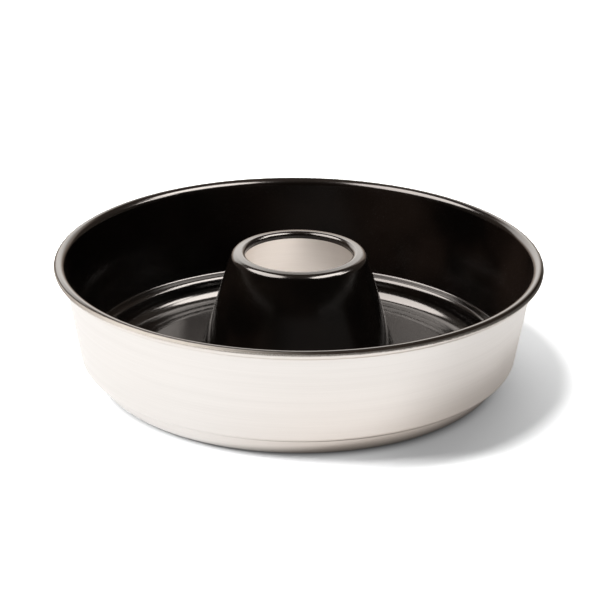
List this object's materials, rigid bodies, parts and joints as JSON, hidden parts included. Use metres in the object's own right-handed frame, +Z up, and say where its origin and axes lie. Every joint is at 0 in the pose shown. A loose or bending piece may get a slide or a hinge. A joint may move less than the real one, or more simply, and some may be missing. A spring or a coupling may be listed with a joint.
{
  "type": "ring mould",
  "caption": "Round baking pan of pressed aluminium with an open centre cone, a rolled rim and a set-in foot, lined inside with a dark ceramic non-stick coating.",
  "frame": {"origin": "on the pan's axis, in the plane of the flat ring that it stands on", "axes": "+Z up along the axis of revolution, out through the open cone; X and Y are alike, because the pan is round"},
  "size_m": [0.25, 0.25, 0.0655],
  "materials": {
    "brushed_aluminium": "satin, with fine turned lines that run round the pan",
    "dark_ceramic": "gloss brown-black sprayed coating with a feathered edge on the rim"
  },
  "bodies": {
    "root": {"pan_body": "brushed_aluminium", "ceramic_coating": "dark_ceramic"}
  },
  "joints": []
}
